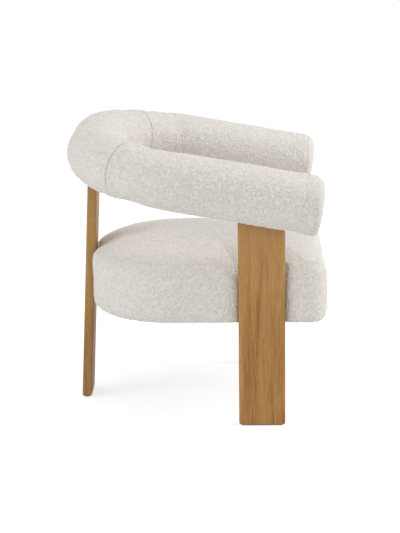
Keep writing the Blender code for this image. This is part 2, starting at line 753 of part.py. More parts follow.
def build_rear_block(bolt_holes):
    """A wedge between the upright back rail and the raked rear leg, and the cutter of its place."""
    half = REAR_LEG_WIDTH / 2
    front = SEAT_BACK_Y - FRAME_INSET + GAP
    section = [
        (front, RAIL_BOTTOM_Z),
        (front, RAIL_TOP_Z),
        (rear_leg_front(RAIL_TOP_Z) - GAP, RAIL_TOP_Z),
        (rear_leg_front(RAIL_BOTTOM_Z) - GAP, RAIL_BOTTOM_Z),
    ]
    block = loft([[Vector((x, y, z)) for y, z in section] for x in (-half, half)])
    block = add_object("rear_leg_wedge", block, "plywood", smooth=False)
    cut(block, *holes_of("rear_leg", bolt_holes))
    low = (-half - GAP, front - RAIL_THICKNESS / 2, SEAT_BOTTOM_Z - RAIL_THICKNESS)
    high = (half + GAP, rear_leg_back(RAIL_BOTTOM_Z), RAIL_TOP_Z + GAP)
    return add_object("space_for_rear_leg_wedge", box(low, high))


def build_webbing():
    half, inset = STRAP_WIDTH / 2, FRAME_INSET + STRAP_SETBACK
    first, last = SEAT_FRONT_Y + CROSS_STRAP_MARGINS[0], SEAT_CURVE_START_Y + CROSS_STRAP_MARGINS[1]
    for number, y in enumerate(spread(first, last, CROSS_STRAPS), 1):
        reach = frame_half_width_at(y + half, inset)
        low = (-reach, y - half, CROSS_STRAP_Z)
        high = (reach, y + half, CROSS_STRAP_Z + STRAP_THICKNESS)
        add_object(f"cross_strap_{number}", box(low, high), "webbing", smooth=False)
    step = LONG_STRAP_SPREAD * SEAT_HALF_WIDTH
    for number, x in enumerate((-step, 0.0, step), 1):
        low = (x - half, SEAT_FRONT_Y + inset, LONG_STRAP_Z)
        high = (x + half, frame_back_at(abs(x) + half, inset), LONG_STRAP_Z + STRAP_THICKNESS)
        add_object(f"long_strap_{number}", box(low, high), "webbing", smooth=False)


def build_seat(spaces):
    cut(add_object("seat_foam", seat_foam(), "foam"), *spaces)
    cut(add_object("seat_cover", seat_cover(), "fabric"), *spaces)
    top = SEAT_BOTTOM_Z - GAP
    sheet = loft([seat_ring(DUST_COVER_INSET, z) for z in (top - DUST_COVER_THICKNESS, top)])
    add_object("dust_cover", sheet, "dust_cover", smooth=False)


def build():
    clear_scene()
    hoop = bpy.data.objects.new("hoop", None)
    bpy.context.scene.collection.objects.link(hoop)
    hoop.location = (0, ARM_END_Y, ARM_END_Z)
    hoop.rotation_euler = (ARM_SLOPE, 0, 0)
    legs, leg_spaces = build_legs()
    bolt_holes, screw_holes = build_fasteners(legs)
    channel = build_core(hoop, screw_holes)
    build_hoop_padding(hoop, channel, leg_spaces)
    build_rails(bolt_holes)
    build_corner_blocks()
    wedge_space = build_rear_block(bolt_holes)
    build_webbing()
    build_seat([*leg_spaces.values(), wedge_space])


build()
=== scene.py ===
"""The looks of an upholstered three-legged armchair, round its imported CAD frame: sewn boucle covers over
the padded hoop and the seat, oiled oak legs, the dust cover underneath, and a white studio. Lengths are
metres, in the CAD's own frame: +Z is up, the chair faces -Y, and +X is its occupant's left."""

import math

import bmesh
import bpy
import numpy as np
from mathutils import Matrix, Vector, noise


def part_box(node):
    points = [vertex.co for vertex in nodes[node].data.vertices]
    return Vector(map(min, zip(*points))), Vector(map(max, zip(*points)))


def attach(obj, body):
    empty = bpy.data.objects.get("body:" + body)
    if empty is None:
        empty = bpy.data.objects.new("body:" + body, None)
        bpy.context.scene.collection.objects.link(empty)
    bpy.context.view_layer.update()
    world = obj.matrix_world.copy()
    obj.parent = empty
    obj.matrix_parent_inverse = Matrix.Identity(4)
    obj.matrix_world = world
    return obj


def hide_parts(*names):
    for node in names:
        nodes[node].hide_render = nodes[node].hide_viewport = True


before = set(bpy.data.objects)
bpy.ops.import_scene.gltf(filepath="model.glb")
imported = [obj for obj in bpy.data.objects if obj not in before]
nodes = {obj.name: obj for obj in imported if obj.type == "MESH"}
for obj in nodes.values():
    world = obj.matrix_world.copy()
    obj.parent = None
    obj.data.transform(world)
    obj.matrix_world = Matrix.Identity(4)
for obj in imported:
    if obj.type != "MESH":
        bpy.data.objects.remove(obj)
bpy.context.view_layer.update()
scene = bpy.context.scene

# ---- Sizes, as in the CAD ------------------------------------------------------------------------

TUBE_RADIUS = 0.071
HOOP_CORNER_RADIUS = 0.217
ARM_SLOPE = math.radians(10.0)
END_ROUND = 0.018
END_SEAM_REACH = 0.030  # travel past which the arms' end seams are out of the way
SIDE_SEAM_ANGLE = math.radians(37.0)
ARM_X, ARM_END_Y, ARM_END_Z = 0.284, -0.3068, 0.5661
HOOP_BACK_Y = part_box("back_cover_left")[1].y - TUBE_RADIUS
HOOP_LENGTH = (HOOP_BACK_Y - ARM_END_Y) / math.cos(ARM_SLOPE)
ARM_STRAIGHT = HOOP_LENGTH - HOOP_CORNER_RADIUS
HOOP_CORNER_TRAVEL = HOOP_CORNER_RADIUS * math.pi / 2
HALF_HOOP_TRAVEL = ARM_STRAIGHT + HOOP_CORNER_TRAVEL + ARM_X - HOOP_CORNER_RADIUS
SIDE_SEAM_TRAVEL = ARM_STRAIGHT + HOOP_CORNER_RADIUS * SIDE_SEAM_ANGLE

SEAT_LOW, SEAT_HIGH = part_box("seat_cover")
SEAT_HALF_WIDTH = SEAT_HIGH.x
SEAT_FRONT_Y, SEAT_BACK_Y = -0.323, 0.276
SEAT_CURVE_START_Y = 0.041
SEAT_CURVE_POWER = 2.27
SEAT_FRONT_CORNER = 0.046
SEAT_BOTTOM_Z = SEAT_LOW.z
SEAT_CENTRE_Y = (SEAT_FRONT_Y + SEAT_BACK_Y) / 2

LEGS = {name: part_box(name) for name in ("front_leg_left", "front_leg_right", "rear_leg")}
REAR_LEG_LEAN = math.tan(math.radians(3.18))
REAR_LEG_FOOT_Y = 0.3112
LEG_THICKNESS = 0.025

# ---- Helpers -------------------------------------------------------------------------------------


def smoothstep(low, high, x):
    t = np.clip((x - low) / (high - low), 0.0, 1.0)
    return t * t * (3 - 2 * t)


def new_object(name, verts, faces):
    mesh = bpy.data.meshes.new(name)
    mesh.from_pydata([tuple(v) for v in verts], [], faces)
    mesh.update()
    mesh.shade_smooth()
    obj = bpy.data.objects.new(name, mesh)
    scene.collection.objects.link(obj)
    return obj


def coords(mesh):
    flat = np.empty(len(mesh.vertices) * 3, np.float32)
    mesh.vertices.foreach_get("co", flat)
    return flat.reshape(-1, 3).astype(float)


def set_coords(mesh, points):
    mesh.vertices.foreach_set("co", np.asarray(points, np.float32).ravel())
    mesh.update()


def normals(mesh):
    flat = np.empty(len(mesh.vertices) * 3, np.float32)
    mesh.vertex_normals.foreach_get("vector", flat)
    return flat.reshape(-1, 3).astype(float)


def settle(obj):
    """Applies the object's modifiers."""
    graph = bpy.context.evaluated_depsgraph_get()
    made = bpy.data.meshes.new_from_object(obj.evaluated_get(graph))
    old = obj.data
    obj.modifiers.clear()
    obj.data = made
    bpy.data.meshes.remove(old)
    made.name = obj.name
    made.shade_smooth()


def subdivide(obj, levels):
    modifier = obj.modifiers.new("subdivision", "SUBSURF")
    modifier.levels = modifier.render_levels = levels
    modifier.boundary_smooth = "PRESERVE_CORNERS"
    settle(obj)


CLOTH_FRAMES = 20
CLOTH_PRESSURE = 4.0
CLOTH_SLACK = 0.012  # share by which the cloth is larger than its starting shape


def inflate(obj, pinned, cap):
    """Cloth simulation of a stuffed cover: pinned is each vertex's hold from 0 to 1, and cap the most that
    a point may move."""
    before = coords(obj.data)
    group = obj.vertex_groups.new(name="held")
    weights = np.round(pinned, 2)
    for weight in sorted(set(weights) - {0.0}):
        group.add([int(i) for i in np.flatnonzero(weights == weight)], float(weight), "REPLACE")
    modifier = obj.modifiers.new("cloth", "CLOTH")
    cloth = modifier.settings
    cloth.quality = 5
    cloth.mass = 0.25
    cloth.tension_stiffness = cloth.compression_stiffness = 25
    cloth.shear_stiffness = 12
    cloth.bending_stiffness = 0.6
    cloth.shrink_min = -CLOTH_SLACK
    cloth.use_pressure = True
    cloth.uniform_pressure_force = CLOTH_PRESSURE
    cloth.effector_weights.gravity = 0
    cloth.vertex_group_mass = "held"
    modifier.collision_settings.use_collision = False
    modifier.collision_settings.use_self_collision = False
    modifier.point_cache.frame_start, modifier.point_cache.frame_end = 1, CLOTH_FRAMES
    for number in range(1, CLOTH_FRAMES + 1):
        scene.frame_set(number)
    graph = bpy.context.evaluated_depsgraph_get()
    moved = coords(obj.evaluated_get(graph).to_mesh()) - before
    obj.evaluated_get(graph).to_mesh_clear()
    obj.modifiers.clear()
    obj.vertex_groups.clear()
    scene.frame_set(1)
    length = np.linalg.norm(moved, axis=1, keepdims=True)
    moved *= np.tanh(length / cap) * cap / np.maximum(length, 1e-9)
    set_coords(obj.data, before + moved)
    most, mean = length.max() * 1000, length.mean() * 1000
    print(f"{obj.name}: cloth moved up to {most:.1f} mm, {mean:.2f} mm on average")


# ---- Materials -----------------------------------------------------------------------------------


class Shader:
    """A Principled material under construction. In node(), an input is named by its label with _ for each
    space, or by _ and its number."""

    def __init__(self, name, roughness, **plain):
        self.material = bpy.data.materials.new(name)
        self.material.use_nodes = True
        self.tree = self.material.node_tree
        self.surface = self.tree.nodes["Principled BSDF"]
        self.surface.inputs["Roughness"].default_value = roughness
        for socket, value in plain.items():
            self.surface.inputs[socket.replace("_", " ")].default_value = value
        self.position = self.node("ShaderNodeTexCoord").outputs["Object"]

    def node(self, kind, settings=None, **inputs):
        made = self.tree.nodes.new(kind)
        for key, value in (settings or {}).items():
            setattr(made, key, value)
        for key, value in inputs.items():
            socket = made.inputs[int(key[1:]) if key[1:].isdigit() else key.replace("_", " ")]
            if isinstance(value, bpy.types.NodeSocket):
                self.tree.links.new(value, socket)
            else:
                socket.default_value = value
        return made

    def stretched(self, scale, source=None, turn=(0, 0, 0)):
        return self.node("ShaderNodeMapping", Vector=source or self.position, Scale=scale,
                         Rotation=turn).outputs["Vector"]

    def noise(self, scale, detail=3.0, roughness=0.55, vector=None, distortion=0.0):
        return self.node("ShaderNodeTexNoise", Vector=vector or self.position, Scale=scale,
                         Detail=detail, Roughness=roughness, Distortion=distortion).outputs["Fac"]

    def cells(self, scale, feature="F1"):
        return self.node("ShaderNodeTexVoronoi", {"feature": feature}, Vector=self.position,
                         Scale=scale).outputs["Distance"]

    def math(self, operation, first, second=0.0):
        return self.node("ShaderNodeMath", {"operation": operation}, _0=first, _1=second).outputs[0]

    def rescaled(self, value, low, high, to_low, to_high):
        return self.node("ShaderNodeMapRange", Value=value, From_Min=low, From_Max=high, To_Min=to_low,
                         To_Max=to_high).outputs["Result"]

    def ramp(self, value, *stops):
        made = self.node("ShaderNodeValToRGB", Fac=value)
        elements = made.color_ramp.elements
        while len(elements) < len(stops):
            elements.new(0.5)
        for element, (place, colour) in zip(elements, stops):
            element.position = place
            element.color = (*colour, 1.0)
        return made.outputs["Color"]

    def mixed(self, factor, first, second):
        made = self.node("ShaderNodeMix", {"data_type": "RGBA"})
        for index, value in ((0, factor), (6, first), (7, second)):
            if isinstance(value, bpy.types.NodeSocket):
                self.tree.links.new(value, made.inputs[index])
            else:
                made.inputs[index].default_value = value if index == 0 else (*value, 1.0)
        return made.outputs[2]

    def colour(self, value):
        self.tree.links.new(value, self.surface.inputs["Base Color"])

    def roughness(self, value):
        self.tree.links.new(value, self.surface.inputs["Roughness"])

    def bump(self, height, distance, strength=1.0):
        made = self.node("ShaderNodeBump", Height=height, Distance=distance, Strength=strength)
        self.tree.links.new(made.outputs["Normal"], self.surface.inputs["Normal"])


def boucle():
    """Ivory looped yarn and fine fibres, with painted shade: pale crowns of curled yarn, darker and warmer
    in the creases between them and along the seams.
    """
    shader = Shader("boucle", 0.95, Sheen_Weight=0.2, Sheen_Roughness=0.6, Specular_IOR_Level=0.1)
    nap_and_shade = shader.node("ShaderNodeAttribute", {"attribute_name": "nap_and_shade"}).outputs["Fac"]
    fibres = shader.noise(1500, detail=2)
    strands = shader.cells(900, feature="SMOOTH_F1")
    tone = shader.math("ADD", nap_and_shade, shader.math("MULTIPLY", fibres, 0.35))
    # painted shade: the ramp's dark warm end is shade in the creases between curls and along the seams; the
    # fibres' part is the yarn's own colour
    base = shader.ramp(shader.rescaled(tone, -0.2, 1.35, 0.0, 1.0),
                       (0.0, (0.43, 0.385, 0.34)), (0.35, (0.66, 0.62, 0.57)),
                       (0.60, (0.77, 0.74, 0.70)), (1.0, (0.86, 0.84, 0.81)))
    mottle = shader.noise(38, detail=3)
    worn = shader.rescaled(mottle, 0.35, 0.65, 0.0, 0.12)
    shader.colour(shader.mixed(worn, base, (0.72, 0.68, 0.63)))
    shader.bump(shader.math("ADD", shader.math("MULTIPLY", strands, -0.6), fibres), 0.0006, 0.8)
    return shader.material


def oak(name, across, depth=1.0):
    """Oiled oak, its grain running up the plank, with painted light making it paler towards its top. across
    is the plank's broad direction, X or Y, and depth scales its colours."""
    shader = Shader(name, 0.42, Specular_IOR_Level=0.35, Coat_Weight=0.05, Coat_Roughness=0.35)
    turn = (0, 0, math.pi / 2) if across == "Y" else (0, 0, 0)
    straight = shader.stretched((1, 1, 1), turn=turn)
    sway = shader.noise(6, detail=3, vector=shader.stretched((1, 1, 0.6), straight))
    sideways = shader.node("ShaderNodeCombineXYZ", X=sway, Y=sway, Z=0.0).outputs[0]
    swayed = shader.node("ShaderNodeVectorMath", {"operation": "MULTIPLY_ADD"}, _0=sideways,
                         _1=(0.022, 0.022, 0.0), _2=straight).outputs[0]
    bands = shader.noise(52, detail=4, roughness=0.6, vector=shader.stretched((1, 1, 0.055), swayed))
    lines = shader.noise(400, detail=3, roughness=0.65, vector=shader.stretched((1, 1, 0.045), swayed))
    pores = shader.noise(620, detail=1, vector=shader.stretched((1, 1, 0.055), swayed))
    patches = shader.noise(14, detail=3, vector=shader.stretched((1, 1, 0.30), swayed))
    tone = shader.math("ADD", shader.math("MULTIPLY", bands, 0.62), shader.math("MULTIPLY", lines, 0.38))
    stops = ((0.36, (0.265, 0.107, 0.022)), (0.46, (0.370, 0.176, 0.043)),
             (0.54, (0.43, 0.230, 0.064)), (0.66, (0.50, 0.288, 0.096)))
    wood = shader.ramp(tone, *((place, [depth * c for c in colour]) for place, colour in stops))
    wood = shader.mixed(shader.rescaled(patches, 0.45, 0.70, 0.0, 0.50), wood, (0.38, 0.168, 0.041))
    height = shader.node("ShaderNodeSeparateXYZ", Vector=shader.position).outputs["Z"]
    # painted light: the oak is mixed paler towards the top of the leg
    wood = shader.mixed(shader.rescaled(height, 0.22, 0.52, 0.0, 0.40), wood, (0.54, 0.325, 0.125))
    wood = shader.mixed(shader.rescaled(pores, 0.60, 0.72, 0.0, 0.4), wood, (0.225, 0.078, 0.016))
    shader.colour(wood)
    shader.roughness(shader.rescaled(lines, 0.3, 0.7, 0.36, 0.5))
    relief = shader.math("ADD", shader.math("MULTIPLY", pores, -0.7), shader.math("MULTIPLY", lines, 0.3))
    shader.bump(relief, 0.0003, 0.6)
    return shader.material


def plywood():
    shader = Shader("plywood", 0.68)
    layers = shader.node("ShaderNodeSeparateXYZ", Vector=shader.position).outputs["Z"]
    bands = shader.math("SINE", shader.math("MULTIPLY", layers, 2100.0))
    grain = shader.noise(60, detail=4, vector=shader.stretched((1, 0.08, 1)))
    tone = shader.math("ADD", shader.math("MULTIPLY", bands, 0.14), grain)
    shader.colour(shader.ramp(tone, (0.3, (0.42, 0.28, 0.15)), (0.7, (0.66, 0.50, 0.31))))
    shader.bump(grain, 0.0004)
    return shader.material


def foam():
    shader = Shader("foam", 0.95)
    cells = shader.cells(900)
    shader.colour(shader.ramp(cells, (0.1, (0.60, 0.53, 0.35)), (0.7, (0.86, 0.81, 0.62))))
    shader.bump(cells, 0.0006)
    return shader.material


def woven(name, dark, light, threads):
    """A plain weave of narrow threads."""
    shader = Shader(name, 0.85)
    split = shader.node("ShaderNodeSeparateXYZ", Vector=shader.position)
    across = shader.math("SINE", shader.math("MULTIPLY", split.outputs["X"], threads))
    along = shader.math("SINE", shader.math("MULTIPLY", split.outputs["Y"], threads))
    weave = shader.math("MULTIPLY", across, along)
    worn = shader.noise(80)
    tone = shader.math("ADD", shader.math("MULTIPLY", weave, 0.3), worn)
    shader.colour(shader.ramp(tone, (0.25, dark), (0.8, light)))
    shader.bump(weave, 0.0003)
    return shader.material


def fibres(name, dark, light, scale):
    """A pressed mat of short fibres, as felt and non-woven cloth are."""
    shader = Shader(name, 0.95)
    strands = shader.noise(scale, detail=5, roughness=0.7, distortion=1.6)
    patches = shader.noise(scale / 12, detail=2)
    fine, broad = shader.math("MULTIPLY", strands, 0.7), shader.math("MULTIPLY", patches, 0.3)
    tone = shader.math("ADD", fine, broad)
    shader.colour(shader.ramp(tone, (0.3, dark), (0.7, light)))
    shader.bump(strands, 0.0004)
    return shader.material


def zinc():
    shader = Shader("zinc", 0.35, Metallic=1.0)
    spangle = shader.cells(260)
    scuffs = shader.noise(400, detail=4, vector=shader.stretched((1, 1, 0.1)))
    shader.colour(shader.ramp(spangle, (0.1, (0.46, 0.47, 0.50)), (0.8, (0.64, 0.64, 0.63))))
    shader.roughness(shader.rescaled(scuffs, 0.3, 0.7, 0.28, 0.45))
    shader.bump(scuffs, 0.0001)
    return shader.material


# ---- The boucle's surface ------------------------------------------------------------------------

CURL_PITCH = 0.0047  # from one curl of yarn to the next
CURL_BEND = 0.0080
CURL_HEIGHT = 0.0024
CURL_CROWN = 1.12  # the most that a curl stands up, as a share of its height
CURL_LEVEL = 0.6  # the height, as a share, that lies on the cover's own surface
CLUMP_SIZE = 0.013
CLUMP_HEIGHT = 0.0006
UNEVENNESS_SIZE = 0.085
UNEVENNESS_HEIGHT = 0.0015
SEAM_DEPTH, SEAM_WIDTH = 0.0009, 0.0014
SEAM_VALLEY_DEPTH, SEAM_VALLEY_WIDTH = 0.0005, 0.006
SEAM_PAINTED_SHADE = 220  # how much painted shade darkens the yarn for each metre that a seam draws it in
SEAM_ALLOWANCE = 0.004


def curl_height(point):
    """Height of the curled yarn at a point, as a share, from 0 in the creases between curls."""
    bent = point / CURL_PITCH + noise.noise_vector(point / CURL_BEND) * 0.9
    near, second = noise.voronoi(bent)[0][:2]
    worm = abs(noise.noise(bent * 0.8))
    return min(CURL_CROWN, 0.75 * min(1.0, (second - near) * 1.6) + 0.5 * min(1.0, worm * 2.2))


def raise_nap(obj, drawn_in, loose=1.0):
    """Raises the curls of yarn, clumps of them, and the padding's slow unevenness where the cover is loose,
    and sinks each point by drawn_in. The material paints shade from the value stored here: darker where the
    curls are low and where drawn_in sinks the yarn."""
    points, out = coords(obj.data), normals(obj.data)
    nap_and_shade, swell = np.empty(len(points)), np.empty(len(points))
    for i, p in enumerate(points):
        point = Vector(p)
        nap_and_shade[i] = curl_height(point)
        swell[i] = (CLUMP_HEIGHT * noise.noise(point / CLUMP_SIZE)
                    + UNEVENNESS_HEIGHT * noise.noise(point / UNEVENNESS_SIZE))
    lift = CURL_HEIGHT * (nap_and_shade - CURL_LEVEL) + swell * loose - drawn_in
    set_coords(obj.data, points + out * lift[:, None])
    # painted shade: the yarn is made darker where a seam draws the cover in
    put_value(obj, "nap_and_shade", nap_and_shade - drawn_in * SEAM_PAINTED_SHADE)


def put_value(obj, name, values):
    """Stores a number for each point as an attribute."""
    attribute = obj.data.attributes.new(name, "FLOAT", "POINT")
    attribute.data.foreach_set("value", np.asarray(values, np.float32))


def value_on(obj, name):
    """An attribute's value at each point."""
    values = np.empty(len(obj.data.vertices), np.float32)
    obj.data.attributes[name].data.foreach_get("value", values)
    return values.astype(float)


def seam_line(away, depth=SEAM_DEPTH):
    """How far a seam draws in the cover at a distance from it: a fine line in a broad shallow valley."""
    line = depth * np.exp(-((away / SEAM_WIDTH) ** 2))
    return line + SEAM_VALLEY_DEPTH * np.exp(-((away / SEAM_VALLEY_WIDTH) ** 2))


def face_out(obj):
    bm = bmesh.new()
    bm.from_mesh(obj.data)
    bmesh.ops.recalc_face_normals(bm, faces=bm.faces)
    bm.to_mesh(obj.data)
    bm.free()
    obj.data.shade_smooth()


def cut_panels(whole, names, material):
    """The cover's panels: one object for each material index, its edges turned in along the seams."""
    panels = []
    for number, name in enumerate(names):
        bm = bmesh.new()
        bm.from_mesh(whole.data)
        others = [face for face in bm.faces if face.material_index != number]
        bmesh.ops.delete(bm, geom=others, context="FACES")
        rims = [edge for edge in bm.edges if edge.is_boundary]
        rim_normals = {vert: vert.normal.copy() for edge in rims for vert in edge.verts}
        turned = bmesh.ops.extrude_edge_only(bm, edges=rims)["geom"]
        folded = [item for item in turned if isinstance(item, bmesh.types.BMVert)]
        for new in folded:
            neighbours = [edge.other_vert(new) for edge in new.link_edges]
            old = next(vert for vert in neighbours if vert in rim_normals)
            new.co -= rim_normals[old] * SEAM_ALLOWANCE
        for face in bm.faces:
            face.material_index = 0
            face.smooth = True
        mesh = bpy.data.meshes.new(name)
        bm.to_mesh(mesh)
        bm.free()
        mesh.materials.append(material)
        obj = bpy.data.objects.new(name, mesh)
        scene.collection.objects.link(obj)
        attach(obj, "root")
        panels.append(obj)
    bpy.data.objects.remove(whole)
    return panels


# ---- The hoop's cover ----------------------------------------------------------------------------

HOOP_FRAME = Matrix.Translation((0, ARM_END_Y, ARM_END_Z)) @ Matrix.Rotation(ARM_SLOPE, 4, "X")
HOOP_SIDES = 72
HOOP_STEP = 0.0062
START_INSET = 0.0010  # the cover starts this much smaller and swells
END_ROUND_TOP, END_ROUND_BOTTOM = 0.031, 0.012  # the arms' ends are stuffed rounder on top than underneath
END_FADE = 0.050
OPENING_INSET = 0.002  # the openings' edges are this far inside the legs' faces
END_SAG = 0.0045  # the stuffing has settled this much under the arms' front ends
SAG_REACH = 0.170
END_EDGE_STEPS = 6
END_FLAT_STEPS = 8
HOOP_SEAM_HOLD = 0.8  # how firmly the cloth is held along its seams, from 0 to 1
HOOP_MOST_SWELL = 0.004
END_SEAM_STEP = 0.0045  # the distance between rings that the end seams' line is drawn for
END_SEAM_DEPTH = 0.0006


def hoop_station(travel):
    """(x, y, turn) on the centre line's left half, in the hoop's own frame."""
    if travel <= ARM_STRAIGHT:
        return ARM_X, travel, 0.0
    if travel <= ARM_STRAIGHT + HOOP_CORNER_TRAVEL:
        turn = (travel - ARM_STRAIGHT) / HOOP_CORNER_RADIUS
        return (ARM_X - HOOP_CORNER_RADIUS * (1 - math.cos(turn)),
                ARM_STRAIGHT + HOOP_CORNER_RADIUS * math.sin(turn), turn)
    return HALF_HOOP_TRAVEL - travel, HOOP_LENGTH, math.pi / 2


def evenly(start, stop):
    count = max(1, round((stop - start) / HOOP_STEP))
    return [start + (stop - start) * i / count for i in range(count)]


def half_hoop_rows():
    """(kind, value) of each ring from an arm's front end to the back's middle, and the seams' ring numbers.
    On the end's flat the value is a share of its radius, on its edge an angle, and then a travel."""
    rows = [("flat", i / END_FLAT_STEPS) for i in range(1, END_FLAT_STEPS)]
    rows += [("edge", math.pi / 2 * i / END_EDGE_STEPS) for i in range(END_EDGE_STEPS)]
    seams = {"end": len(rows) - 1}
    rows += [("travel", t) for t in evenly(END_ROUND, SIDE_SEAM_TRAVEL)]
    seams["side"] = len(rows)
    rows += [("travel", t) for t in evenly(SIDE_SEAM_TRAVEL, HALF_HOOP_TRAVEL)]
    seams["back"] = len(rows)
    rows.append(("travel", HALF_HOOP_TRAVEL))
    return rows, seams


def hoop_point(kind, value, angle, side):
    """A point of the starting cover, angle round the tube from its outer side over its top."""
    end_round = END_ROUND_BOTTOM + (END_ROUND_TOP - END_ROUND_BOTTOM) * (1 + math.sin(angle)) / 2
    if kind == "flat":
        travel, radius = START_INSET, (TUBE_RADIUS - end_round) * value
    elif kind == "edge":
        travel = START_INSET + end_round * (1 - math.cos(value))
        radius = TUBE_RADIUS - end_round * (1 - math.sin(value)) - START_INSET * math.sin(value)
    else:
        travel = value + (end_round - END_ROUND) * max(0.0, 1 - (value - END_ROUND) / END_FADE)
        radius = TUBE_RADIUS - START_INSET
    below = ((1 - math.sin(angle)) / 2) ** 2
    radius *= 1 + END_SAG / TUBE_RADIUS * below * max(0.0, 1 - travel / SAG_REACH)
    x, y, turn = hoop_station(travel)
    outward = Vector((side * math.cos(turn), math.sin(turn), 0))
    around = math.cos(angle) * outward + math.sin(angle) * Vector((0, 0, 1))
    return HOOP_FRAME @ (Vector((side * x, y, 0)) + radius * around)


def hoop_mesh(rows, seams):
    """The whole starting cover, each panel's faces with its own material index, and its seams' rings."""
    whole = [(1, row) for row in rows] + [(-1, row) for row in rows[-2::-1]]
    angles = [math.tau * i / HOOP_SIDES for i in range(HOOP_SIDES)]
    verts = [hoop_point(*row, angle, side) for side, row in whole for angle in angles]
    verts += [HOOP_FRAME @ Vector((side * ARM_X, START_INSET, 0)) for side in (1, -1)]
    last = len(whole) - 1
    left_ends = [seams["end"], seams["side"], seams["back"]]
    panel_ends = [*left_ends, last - seams["side"], last - seams["end"], last]
    faces, panels = [], []
    for r in range(last):
        for i in range(HOOP_SIDES):
            j = (i + 1) % HOOP_SIDES
            a, b = r * HOOP_SIDES, (r + 1) * HOOP_SIDES
            faces.append((a + i, b + i, b + j, a + j))
            panels.append(next(n for n, end in enumerate(panel_ends) if r < end))
    for tip, ring, panel in ((len(verts) - 2, 0, 0), (len(verts) - 1, last, 5)):
        for i in range(HOOP_SIDES):
            faces.append((ring * HOOP_SIDES + i, ring * HOOP_SIDES + (i + 1) % HOOP_SIDES, tip))
            panels.append(panel)
    obj = new_object("hoop_cover", verts, faces)
    obj.data.polygons.foreach_set("material_index", panels)
    face_out(obj)
    return obj, panel_ends[:-1]


def cut_leg_openings(obj):
    """Opens the hoop's cover where the legs pass up through it."""
    bm = bmesh.new()
    bm.from_mesh(obj.data)
    opened = []
    for face in bm.faces:
        place = face.calc_center_median()
        if place.z > ARM_END_Z + (place.y - ARM_END_Y) * math.tan(ARM_SLOPE):
            continue
        for name, (low, high) in LEGS.items():
            back = REAR_LEG_FOOT_Y - place.z * REAR_LEG_LEAN if name == "rear_leg" else high.y
            front = back - LEG_THICKNESS if name == "rear_leg" else low.y
            inside = min(place.x - low.x, high.x - place.x, place.y - front, back - place.y)
            if inside > OPENING_INSET:
                opened.append(face)
    bmesh.ops.delete(bm, geom=opened, context="FACES")
    bm.to_mesh(obj.data)
    bm.free()


def hoop_seam_distance(points):
    """Each point's distance along the hoop to the nearer of its side and back seams, and 1 near the arms'
    ends.
    """
    inverse = np.array(HOOP_FRAME.inverted())
    local = points @ inverse[:3, :3].T + inverse[:3, 3]
    across, along = np.abs(local[:, 0]), local[:, 1]
    inner = ARM_X - HOOP_CORNER_RADIUS
    turn = np.arctan2(along - ARM_STRAIGHT, np.maximum(across - inner, 1e-9))
    curved = ARM_STRAIGHT + HOOP_CORNER_RADIUS * turn
    behind = np.where(across < inner, HALF_HOOP_TRAVEL - across, curved)
    travel = np.where(along < ARM_STRAIGHT, along, behind)
    distance = np.minimum(np.abs(travel - SIDE_SEAM_TRAVEL), np.abs(travel - HALF_HOOP_TRAVEL))
    return np.where(travel < END_SEAM_REACH, 1.0, distance)


def hoop_cover(material):
    """The hoop's cover in its six sewn panels, open where the legs come up into it."""
    rows, seams = half_hoop_rows()
    obj, seam_rings = hoop_mesh(rows, seams)
    points = coords(obj.data)
    pinned = np.zeros(len(points))
    for ring in seam_rings:
        pinned[ring * HOOP_SIDES : (ring + 1) * HOOP_SIDES] = HOOP_SEAM_HOLD
    inflate(obj, pinned, cap=HOOP_MOST_SWELL)
    ring_number = np.minimum(np.arange(len(points)) // HOOP_SIDES, 2 * len(rows) - 2)
    away = np.min([np.abs(ring_number - ring) for ring in (seam_rings[0], seam_rings[-1])], axis=0)
    put_value(obj, "end_seam", away)
    subdivide(obj, 2)
    end_seam_away = value_on(obj, "end_seam") * END_SEAM_STEP
    # The side, back and end seams paint shade into the yarn along them as they draw it in.
    raise_nap(obj, seam_line(hoop_seam_distance(coords(obj.data)))
              + 0.5 * seam_line(end_seam_away, depth=END_SEAM_DEPTH))
    cut_leg_openings(obj)
    names = ("arm_end_boucle_left", "arm_boucle_left", "back_boucle_left", "back_boucle_right",
             "arm_boucle_right", "arm_end_boucle_right")
    replaced = (("arm_end_cap_left",), ("arm_cover_left", "arm_foam_left"), ("back_cover_left",),
                ("back_cover_right", "back_foam"), ("arm_cover_right", "arm_foam_right"),
                ("arm_end_cap_right",))
    for panel, hidden in zip(cut_panels(obj, names, material), replaced):
        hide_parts(*hidden)


# ---- The seat's cover ----------------------------------------------------------------------------

SEAT_CELLS = 72  # across the top panel, so that its edge has four times as many points
SEAT_SEAM_Z = 0.4120
SHOULDER_ROUND = 0.034
SHOULDER_ANGLE = math.radians(62.0)
BOTTOM_ROUND = 0.014
LIP = 0.044
SHOULDER_BANDS, UPRIGHT_BANDS, BOTTOM_BANDS, LIP_BANDS = 4, 11, 4, 2
CROWN_Z = 0.4435
DOME_POWER = 2.9
SEAT_START_INSET = 0.0028
SEAT_MOST_SWELL = 0.006
SEAT_SEAM_HOLD = 0.6  # how firmly the cloth is held along its seam, from 0 to 1
HELD_DEPTH = 0.006  # a groove this deep holds the cloth firmly
CORNER_SHARE = 0.55  # how much a groove still deepens the shoulder and the bottom's rounding
STRETCHED_TO, LOOSE_FROM = 0.002, 0.030  # the cover is stretched smooth up to here over the bottom

